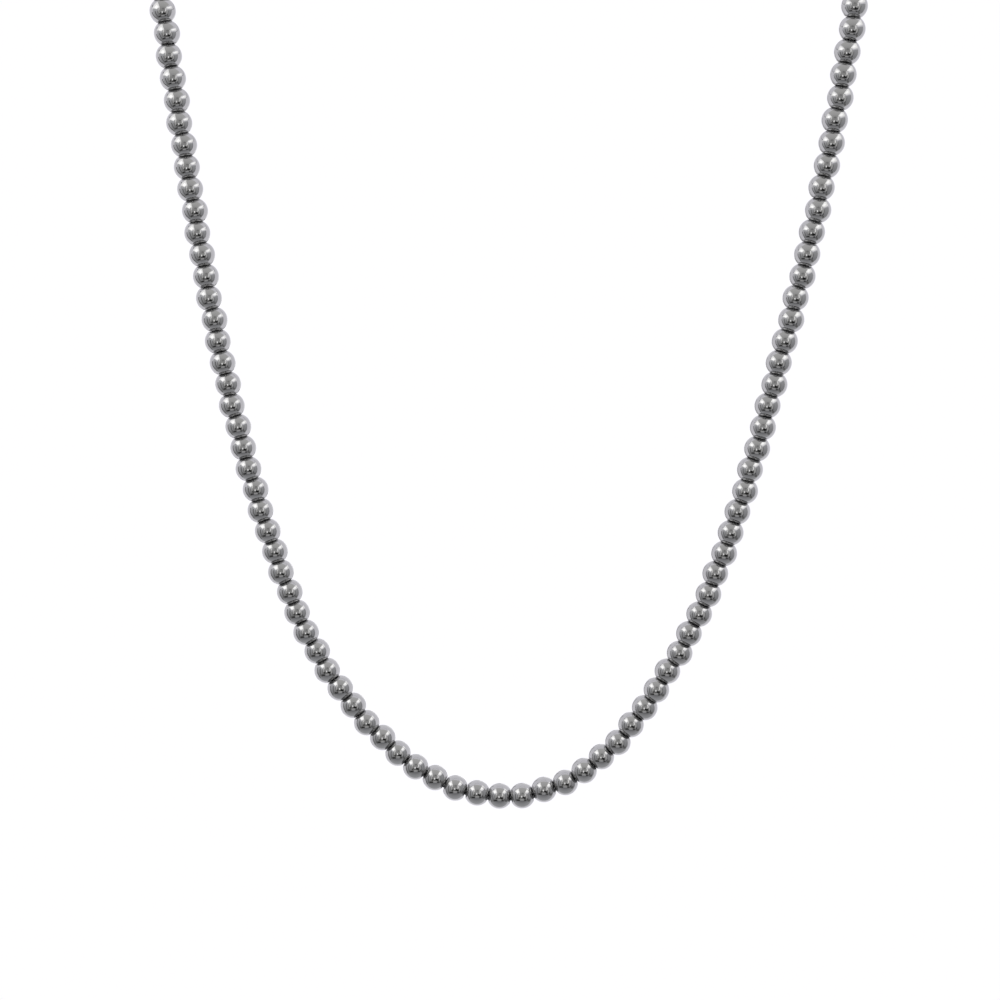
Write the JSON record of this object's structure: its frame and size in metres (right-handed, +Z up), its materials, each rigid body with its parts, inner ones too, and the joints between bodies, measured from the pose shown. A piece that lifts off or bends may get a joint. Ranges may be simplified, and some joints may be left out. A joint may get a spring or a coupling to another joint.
{
  "type": "bead necklace",
  "caption": "Polished metal bead necklace: round drilled balls strung close together on a wire, closed by a barrel clasp, kept in its hanging form.",
  "frame": {"origin": "middle of the opening for the neck, at the height of the clasp at the nape", "axes": "+Z up, along the neck and the necklace's longest extent; -Y is the front, where the string hangs in a plane; +X to the right seen from the front"},
  "size_m": [0.1432, 0.0731, 0.1838],
  "materials": {
    "polished_beads": "mirror-polished stainless steel, fine handling scratches",
    "stringing_wire": "twisted steel wire, dull",
    "polished_clasp": "mirror-polished stainless steel"
  },
  "bodies": {
    "root": {"bead_string": "polished_beads", "wire": "stringing_wire", "clasp": "polished_clasp"}
  },
  "joints": []
}
